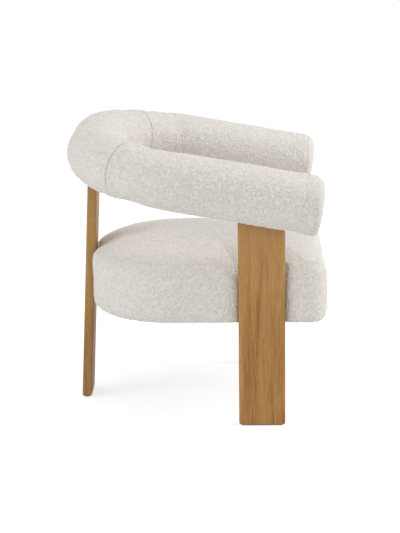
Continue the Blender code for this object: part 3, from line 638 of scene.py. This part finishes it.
GROOVE_CLEARANCE = 0.0012
GROOVE_DEPTH = 0.0115
GROOVE_STEP = (-0.0025, 0.0012)  # off the leg's edge, where the cover comes out from behind the leg
GROOVE_WIDTHS = (0.009, 0.014)  # ahead of a front leg and behind it
REAR_GROOVE_WIDTH = 0.010
GROOVE_CROWDING = 2.4  # how much closer together the points are beside a leg
CROWDING_REACH = 0.014
SIDE_BAND = 0.030  # the plan's sides, where the front legs are, lie within this of its full width
REAR_FROM_Y = 0.200  # the plan's back, where the rear leg is, starts here
PINCH_REACH = 0.040  # how far the pinch beside a leg runs in over the top
PINCH_DROP = 0.020  # the shoulder's fall where the cover is drawn in to a front leg
PINCH_WIDTHS = (0.007, 0.024)  # ahead of a front leg and behind it
PINCH_SINK = 0.16  # how far the top sinks there, as a share of how far it is drawn in

CURVE_POINTS, STRAIGHT_POINTS, CORNER_POINTS, FRONT_POINTS = 1200, 400, 120, 300


def seat_polyline():
    """The seat's plan, x >= 0, from the back's middle to the front's: (n, 2) points, outward directions."""
    reach, power = SEAT_BACK_Y - SEAT_CURVE_START_Y, SEAT_CURVE_POWER
    points, outward = [], []
    for a in np.linspace(0, math.pi / 2, CURVE_POINTS + 1):
        across, along = math.sin(a) ** (2 / power), max(math.cos(a), 0.0) ** (2 / power)
        points.append((SEAT_HALF_WIDTH * across, SEAT_CURVE_START_Y + reach * along))
        outward.append((across ** (power - 1) / SEAT_HALF_WIDTH, along ** (power - 1) / reach))
    corner_x, corner_y = SEAT_HALF_WIDTH - SEAT_FRONT_CORNER, SEAT_FRONT_Y + SEAT_FRONT_CORNER
    for y in np.linspace(SEAT_CURVE_START_Y, corner_y, STRAIGHT_POINTS)[1:]:
        points.append((SEAT_HALF_WIDTH, y))
        outward.append((1, 0))
    for a in np.linspace(0, math.pi / 2, CORNER_POINTS)[1:]:
        across, along = math.cos(a), -math.sin(a)
        points.append((corner_x + SEAT_FRONT_CORNER * across, corner_y + SEAT_FRONT_CORNER * along))
        outward.append((across, along))
    for x in np.linspace(corner_x, 0, FRONT_POINTS)[1:]:
        points.append((x, SEAT_FRONT_Y))
        outward.append((0, -1))
    outward = np.array(outward)
    return np.array(points), outward / np.linalg.norm(outward, axis=1, keepdims=True)


def seat_outline():
    """The whole plan as 4 * SEAT_CELLS points and outward directions, closer together beside the legs."""
    points, outward = seat_polyline()
    steps = np.linalg.norm(np.diff(points, axis=0), axis=1)
    middle = (points[1:] + points[:-1]) / 2
    crowding = np.ones(len(steps))
    on_side = middle[:, 0] > SEAT_HALF_WIDTH - 0.001
    for corner in LEGS["front_leg_left"]:
        crowding += GROOVE_CROWDING * np.exp(-(((middle[:, 1] - corner.y) / CROWDING_REACH) ** 2)) * on_side
    behind = middle[:, 1] > REAR_FROM_Y
    off_edge = middle[:, 0] - LEGS["rear_leg"][1].x
    crowding += GROOVE_CROWDING * np.exp(-((off_edge / CROWDING_REACH) ** 2)) * behind
    travel = np.concatenate([[0], np.cumsum(steps * crowding)])
    wanted = np.linspace(0, travel[-1], 2 * SEAT_CELLS + 1)
    half = np.stack([np.interp(wanted, travel, column) for column in points.T], axis=1)
    half_out = np.stack([np.interp(wanted, travel, column) for column in outward.T], axis=1)
    flip = np.array([-1, 1])
    whole = np.concatenate([half, half[1:-1][::-1] * flip])
    out = np.concatenate([half_out, half_out[1:-1][::-1] * flip])
    return whole, out / np.linalg.norm(out, axis=1, keepdims=True)


def groove(off_edge, full_depth, width):
    """Depth of the seat's side at a distance outside a leg's edge: pressed in behind the leg, tucked in
    beside it."""
    step = smoothstep(*GROOVE_STEP, off_edge)
    valley = GROOVE_DEPTH * np.exp(-((np.maximum(off_edge, 0) / width) ** 1.5))
    return full_depth * (1 - step) + np.minimum(valley, full_depth) * step


def leg_grooves(points, z):
    """How far the seat's side is pressed in at each point of its plan, at heights z, to clear the legs."""
    low, high = LEGS["front_leg_left"]
    off_edge = np.maximum(low.y - points[:, 1], points[:, 1] - high.y)
    width = np.where(points[:, 1] < (low.y + high.y) / 2, *GROOVE_WIDTHS)
    beside = groove(off_edge, SEAT_HALF_WIDTH - low.x + GROOVE_CLEARANCE, width)
    depth = beside * (np.abs(points[:, 0]) > SEAT_HALF_WIDTH - SIDE_BAND)
    off_edge = np.abs(points[:, 0]) - LEGS["rear_leg"][1].x
    rear_leg_front = REAR_LEG_FOOT_Y - z * REAR_LEG_LEAN - LEG_THICKNESS
    behind = groove(off_edge, SEAT_BACK_Y - rear_leg_front + GROOVE_CLEARANCE, REAR_GROOVE_WIDTH)
    return depth + behind * (points[:, 1] > REAR_FROM_Y)


def shoulder_drop(plan):
    """How much lower the cover's shoulder runs at each point of its plan, drawn down beside a front leg."""
    low, high = LEGS["front_leg_left"]
    off_edge = np.maximum(np.maximum(low.y - plan[:, 1], plan[:, 1] - high.y), 0)
    width = np.where(plan[:, 1] < low.y, *PINCH_WIDTHS)
    on_side = np.abs(plan[:, 0]) > SEAT_HALF_WIDTH - SIDE_BAND
    return PINCH_DROP * np.exp(-((off_edge / width) ** 2)) * on_side


def seat_profile(plan):
    """(inset, heights) of each ring of the side, from the top panel's seam down and in under the frame."""
    shoulder_low = SEAT_SEAM_Z - SHOULDER_ROUND * math.sin(SHOULDER_ANGLE) - shoulder_drop(plan)
    bottom_high = SEAT_BOTTOM_Z + BOTTOM_ROUND
    level = np.ones(len(plan))
    rings = []
    for i in range(SHOULDER_BANDS + 1):
        a = SHOULDER_ANGLE * (1 - i / SHOULDER_BANDS)
        rings.append((SHOULDER_ROUND * (1 - math.cos(a)), shoulder_low + SHOULDER_ROUND * math.sin(a)))
    for i in range(1, UPRIGHT_BANDS + 1):
        rings.append((0.0, shoulder_low + (bottom_high - shoulder_low) * i / UPRIGHT_BANDS))
    for i in range(1, BOTTOM_BANDS + 1):
        a = math.pi / 2 * i / BOTTOM_BANDS
        rings.append((BOTTOM_ROUND * (1 - math.cos(a)), (bottom_high - BOTTOM_ROUND * math.sin(a)) * level))
    for i in range(1, LIP_BANDS + 1):
        rings.append((BOTTOM_ROUND + (LIP - BOTTOM_ROUND) * i / LIP_BANDS, SEAT_BOTTOM_Z * level))
    return rings


def seat_side_rings():
    """Rings of the side, from the top panel's seam down and in, as (points, hold on the cloth), and where
    the seam would run without the legs."""
    plan, outward = seat_outline()
    profile = seat_profile(plan)
    rings = []
    for number, (inset, z) in enumerate(profile):
        depth = leg_grooves(plan, z)
        total = np.maximum(inset, depth) + CORNER_SHARE * np.minimum(inset, depth)
        start = SEAT_START_INSET * (z > SEAT_BOTTOM_Z + 0.001)
        ring = plan - outward * (total + start)[:, None]
        hold = np.clip(depth / HELD_DEPTH, 0, 1)
        if number == 0:
            hold = np.maximum(hold, SEAT_SEAM_HOLD)
        if number >= len(profile) - LIP_BANDS - 1:
            hold = np.ones(len(ring))
        rings.append((np.column_stack([ring, z]), hold))
    seam_inset, seam_z = profile[0]
    smooth_seam = plan - outward * (seam_inset + SEAT_START_INSET)
    return rings, np.column_stack([smooth_seam, seam_z])


def square_ring(k):
    """Grid places (column, row) of the k-th square ring, 8k of them, in the outline's order and sense."""
    half = SEAT_CELLS // 2
    places = []
    for m in range(8 * k):
        side, along = divmod((m + k) % (8 * k), 2 * k)
        offset = along - k
        places.append([(offset, k), (k, -offset), (-offset, -k), (-k, offset)][side])
    return [(half + column, half + row) for column, row in places]


def seat_top(seam, smooth_seam):
    """The domed top panel: its grid's points, each one's hold and distance to the seam, and its faces."""
    around, half = 4 * SEAT_CELLS, SEAT_CELLS // 2
    centre = np.array([0.0, SEAT_CENTRE_Y, 0.0])
    pulled = seam - smooth_seam
    verts, pinned, to_seam = [(0.0, SEAT_CENTRE_Y, CROWN_Z - START_INSET)], [0.0], [SEAT_HALF_WIDTH]
    index = {(half, half): 0}
    for k in range(1, half + 1):
        scale = k / half
        for m, place in enumerate(square_ring(k)):
            t = m / (8 * k) * around
            i, share = int(t), t - int(t)
            j = (i + 1) % around
            edge = smooth_seam[i] * (1 - share) + smooth_seam[j] * share
            reach = np.linalg.norm((edge - centre)[:2]) * (1 - scale)
            point = centre + (edge - centre) * scale
            pinch = max(0.0, 1 - reach / PINCH_REACH) ** 2
            point += (pulled[i] * (1 - share) + pulled[j] * share) * pinch
            point[2] = edge[2] + (CROWN_Z - edge[2]) * (1 - scale**DOME_POWER) - START_INSET * (k < half)
            drawn_in = np.linalg.norm(pulled[i]) * pinch
            point[2] -= PINCH_SINK * drawn_in
            index[place] = len(verts)
            verts.append(tuple(point))
            pinned.append(max(SEAT_SEAM_HOLD * (k == half), min(1.0, drawn_in / HELD_DEPTH)))
            to_seam.append(reach)
    faces = [(index[c, r], index[c + 1, r], index[c + 1, r + 1], index[c, r + 1])
             for c in range(SEAT_CELLS) for r in range(SEAT_CELLS)]
    return verts, pinned, to_seam, faces


def seat_cover(material):
    """The seat's cover, a domed top panel sewn to one long side panel."""
    rings, smooth_seam = seat_side_rings()
    verts, pinned, to_seam, faces = seat_top(rings[0][0], smooth_seam)
    around = 4 * SEAT_CELLS
    panels = [0] * len(faces)
    edge_start = len(verts) - around
    previous = [edge_start + i for i in range(around)]
    for ring, hold in rings[1:]:
        current = [len(verts) + i for i in range(around)]
        to_seam += list(np.linalg.norm(ring - rings[0][0], axis=1))
        verts += [tuple(p) for p in ring]
        pinned += list(hold)
        faces += [(previous[i], current[i], current[(i + 1) % around], previous[(i + 1) % around])
                  for i in range(around)]
        panels += [1] * around
        previous = current
    whole = new_object("seat_cover_whole", verts, faces)
    whole.data.polygons.foreach_set("material_index", panels)
    put_value(whole, "to_seam", to_seam)
    face_out(whole)
    inflate(whole, np.array(pinned), cap=SEAT_MOST_SWELL)
    subdivide(whole, 2)
    over_bottom = coords(whole.data)[:, 2] - SEAT_BOTTOM_Z
    # The seam's shallow valley paints shade into the yarn beside it.
    raise_nap(whole, 0.35 * seam_line(value_on(whole, "to_seam"), depth=0.0),
              loose=smoothstep(STRETCHED_TO, LOOSE_FROM, over_bottom))
    top, side = cut_panels(whole, ("seat_top_boucle", "seat_side_boucle"), material)
    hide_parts("seat_foam")
    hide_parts("seat_cover")


# ---- Underneath ----------------------------------------------------------------------------------

CLOTH_FOLD = 0.0115  # the dust cloth's edge, turned in on itself
FOLD_THICKNESS = 0.0014
CLOTH_SAG = 0.0042
CLOTH_RINGS = 34
STAPLE_PITCH = 0.040
STAPLE_SETBACK = 0.005  # in from the cloth's edge
STAPLE_DROP = 0.0021  # from the cloth's folded edge to the middle of the wire
STAPLE_SIZE = (0.011, 0.0007, 0.0006)
PAD_CORNER = 0.003
PAD_EDGE = 0.0005


def ring_faces(rings, sides):
    """Faces between rings of points, each ring joined to the next one."""
    corners = [(i, (i + 1) % sides) for i in range(sides)]
    starts = [(r * sides, (r + 1) * sides) for r in range(rings - 1)]
    return [(a + i, b + i, b + j, a + j) for a, b in starts for i, j in corners]


def dust_cover(material):
    """Black non-woven cloth under the seat, its edge folded under, sagging a little between its staples."""
    plan, outward = seat_outline()
    low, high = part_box("dust_cover")
    inset = SEAT_HALF_WIDTH - high.x
    centre = np.array([0.0, SEAT_CENTRE_Y])
    top = high.z
    folded = ((inset + CLOTH_FOLD, top - 0.0003), (inset, top - 0.0004), (inset + 0.0002, top - 0.0012))
    rings = [np.column_stack([plan - outward * far, np.full(len(plan), z)]) for far, z in folded]
    edge = plan - outward * inset
    for scale in np.linspace(1.0, 0.04, CLOTH_RINGS)[1:]:
        ring = centre + (edge - centre) * scale
        sag = CLOTH_SAG * (1 - scale**2) ** 0.7
        rings.append(np.column_stack([ring, np.full(len(ring), top - FOLD_THICKNESS - sag)]))
    around = len(plan)
    verts = [tuple(p) for ring in rings for p in ring]
    faces = ring_faces(len(rings), around)
    verts.append((0.0, SEAT_CENTRE_Y, top - FOLD_THICKNESS - CLOTH_SAG))
    base = (len(rings) - 1) * around
    faces += [(base + i, len(verts) - 1, base + (i + 1) % around) for i in range(around)]
    obj = new_object("dust_cloth", verts, faces)
    face_out(obj)
    obj.data.materials.append(material)
    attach(obj, "root")
    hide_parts("dust_cover")


def staples(material):
    """Wire staples through the dust cloth's folded edge, all round it but for the legs."""
    plan, outward = seat_outline()
    low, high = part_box("dust_cover")
    inset = SEAT_HALF_WIDTH - high.x + STAPLE_SETBACK
    front_low, front_high = LEGS["front_leg_left"]
    clear_x = LEGS["rear_leg"][1].x + STAPLE_PITCH / 4
    travel = np.concatenate([[0], np.cumsum(np.linalg.norm(np.diff(plan, axis=0), axis=1))])
    bm = bmesh.new()
    for number in range(int(travel[-1] / STAPLE_PITCH)):
        i = int(np.searchsorted(travel, (number + 0.5) * STAPLE_PITCH))
        x, y = plan[i] - outward[i] * inset
        near_leg = front_low.y - STAPLE_PITCH / 4 < y < front_high.y + STAPLE_PITCH / 4
        beside = abs(x) > SEAT_HALF_WIDTH / 2 and near_leg
        if beside or (y > 0 and abs(x) < clear_x):
            continue
        turn = Matrix.Rotation(math.atan2(outward[i][1], outward[i][0]) + math.pi / 2, 4, "Z")
        place = Matrix.Translation((x, y, high.z - STAPLE_DROP))
        bmesh.ops.create_cube(bm, size=1.0, matrix=place @ turn @ Matrix.Diagonal((*STAPLE_SIZE, 1)))
    mesh = bpy.data.meshes.new("dust_cloth_staples")
    bm.to_mesh(mesh)
    bm.free()
    obj = bpy.data.objects.new("dust_cloth_staples", mesh)
    scene.collection.objects.link(obj)
    mesh.materials.append(material)
    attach(obj, "root")


def rebuilt_pads(material):
    """The felt pads under the legs, with rounded corners and edges."""
    for name in ("felt_pad_front_left", "felt_pad_front_right", "felt_pad_rear"):
        low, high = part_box(name)
        size = high - low
        bm = bmesh.new()
        place = Matrix.Translation((low + high) / 2) @ Matrix.Diagonal((*size, 1))
        bmesh.ops.create_cube(bm, size=1.0, matrix=place)
        upright = [e for e in bm.edges if abs(e.verts[0].co.z - e.verts[1].co.z) > size.z / 2]
        bmesh.ops.bevel(bm, geom=upright, offset=PAD_CORNER, segments=5, profile=0.5, affect="EDGES")
        level = [e for e in bm.edges if abs(e.verts[0].co.z - e.verts[1].co.z) < 1e-6]
        rims = [e for e in level if len(e.link_faces) == 2 and abs(e.calc_face_angle()) > 1.0]
        bmesh.ops.bevel(bm, geom=rims, offset=PAD_EDGE, segments=2, profile=0.5, affect="EDGES")
        mesh = bpy.data.meshes.new(name + "_felt")
        bm.to_mesh(mesh)
        bm.free()
        mesh.shade_smooth()
        mesh.set_sharp_from_angle(angle=math.radians(50))
        obj = bpy.data.objects.new(name + "_felt", mesh)
        scene.collection.objects.link(obj)
        mesh.materials.append(material)
        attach(obj, "root")
        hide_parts(name)


# ---- The studio ----------------------------------------------------------------------------------

CAMERA_PLACE = Vector((-3.8747, -0.1130, 1.3602))
CAMERA_TURN = math.radians(1.61)  # away from +X, towards +Y
CAMERA_DROP = math.radians(14.68)
CAMERA_ROLL = math.radians(-0.83)
CAMERA_LENS = 103.63
WORLD_SEEN, WORLD_LIT = 1.05, 0.59
FLOOR_SEEN, FLOOR_LIT = 0.68, 0.36
SOFT_BOXES = {  # place, size and power
    "overhead": ((0.2, -0.3, 3.0), 1.6, 8),
    "front_box": ((0.1, -2.8, 2.2), 1.8, 46),
    "rear_box": ((-1.0, 3.0, 1.6), 2.0, 29),
    "side_box": ((-2.8, -0.5, 1.8), 1.6, 12),
}
LIT_POINT = Vector((0, 0, 0.4))


def camera():
    data = bpy.data.cameras.new("camera")
    data.lens, data.sensor_width = CAMERA_LENS, 36.0
    obj = bpy.data.objects.new("camera", data)
    scene.collection.objects.link(obj)
    level = math.cos(CAMERA_DROP)
    ahead = Vector((level * math.cos(CAMERA_TURN), level * math.sin(CAMERA_TURN), -math.sin(CAMERA_DROP)))
    right = Vector((math.sin(CAMERA_TURN), -math.cos(CAMERA_TURN), 0))
    up = right.cross(ahead)
    rolled_right = right * math.cos(CAMERA_ROLL) + up * math.sin(CAMERA_ROLL)
    rolled_up = up * math.cos(CAMERA_ROLL) - right * math.sin(CAMERA_ROLL)
    turned = Matrix((rolled_right, rolled_up, -ahead)).transposed()
    obj.matrix_world = Matrix.Translation(CAMERA_PLACE) @ turned.to_4x4()
    scene.camera = obj


def area_light(name, place, size, power):
    data = bpy.data.lights.new(name, "AREA")
    data.shape, data.size, data.energy = "DISK", size, power
    obj = bpy.data.objects.new(name, data)
    obj.location = place
    obj.rotation_euler = (LIT_POINT - Vector(place)).to_track_quat("-Z", "Y").to_euler()
    scene.collection.objects.link(obj)


def seen_and_lit(tree, seen, lit):
    """A strength that is seen by the camera's own rays and lit for all others."""
    path = tree.nodes.new("ShaderNodeLightPath")
    mix = tree.nodes.new("ShaderNodeMix")
    tree.links.new(path.outputs["Is Camera Ray"], mix.inputs[0])
    mix.inputs[2].default_value, mix.inputs[3].default_value = lit, seen
    return mix.outputs[0]


def studio():
    """A light tent: pure white to look at, dimmer for the light it gives, with four soft boxes."""
    world = bpy.data.worlds.new("studio")
    world.use_nodes = True
    tree = world.node_tree
    background = tree.nodes["Background"]
    background.inputs["Color"].default_value = (1, 0.995, 0.985, 1)
    tree.links.new(seen_and_lit(tree, WORLD_SEEN, WORLD_LIT), background.inputs["Strength"])
    scene.world = world
    scene.view_settings.view_transform = "Standard"
    for name, light in SOFT_BOXES.items():
        area_light(name, *light)
    white_floor()


def white_floor():
    """A white floor, which can be looked through from underneath."""
    bm = bmesh.new()
    bmesh.ops.create_circle(bm, cap_ends=True, segments=64, radius=14)
    mesh = bpy.data.meshes.new("floor")
    bm.to_mesh(mesh)
    bm.free()
    floor = bpy.data.objects.new("floor", mesh)
    scene.collection.objects.link(floor)
    paint = Shader("floor_paint", 0.9, Specular_IOR_Level=0.0)
    paint.surface.inputs["Base Color"].default_value = (0.55, 0.55, 0.55, 1)
    paint.surface.inputs["Emission Color"].default_value = (1, 1, 1, 1)
    glow = seen_and_lit(paint.tree, FLOOR_SEEN, FLOOR_LIT)
    paint.tree.links.new(glow, paint.surface.inputs["Emission Strength"])
    from_below = paint.node("ShaderNodeNewGeometry").outputs["Backfacing"]
    clear = paint.node("ShaderNodeBsdfTransparent").outputs[0]
    either = paint.node("ShaderNodeMixShader", Fac=from_below, _1=paint.surface.outputs[0], _2=clear)
    paint.tree.links.new(either.outputs[0], paint.tree.nodes["Material Output"].inputs["Surface"])
    mesh.materials.append(paint.material)


# ---- All together --------------------------------------------------------------------------------


def dress(material, *prefixes):
    """Gives CAD nodes whose names start with a prefix a material."""
    for name, obj in nodes.items():
        if name.startswith(prefixes):
            obj.data.materials.clear()
            obj.data.materials.append(material)


camera()
studio()
fabric = boucle()
hoop_cover(fabric)
seat_cover(fabric)
dust_cover(fibres("non_woven", (0.008, 0.008, 0.009), (0.03, 0.03, 0.032), 700))
steel = zinc()
staples(steel)
rebuilt_pads(fibres("felt", (0.22, 0.17, 0.12), (0.36, 0.30, 0.23), 900))
dress(oak("oak_front", "Y"), "front_leg")
# painted shade: the rear leg has the same oak, made darker by depth
dress(oak("oak_rear_shaded", "X", depth=0.86), "rear_leg")
dress(plywood(), "arm_ply", "back_ply", "front_rail", "side_rail", "back_rail", "corner_block",
      "splice_block", "rear_leg_wedge")
dress(foam(), "arm_foam", "back_foam", "seat_foam")
dress(woven("webbing", (0.02, 0.02, 0.02), (0.09, 0.09, 0.09), 4200.0), "cross_strap", "long_strap")
dress(steel, "bolt", "insert", "leg_screw")
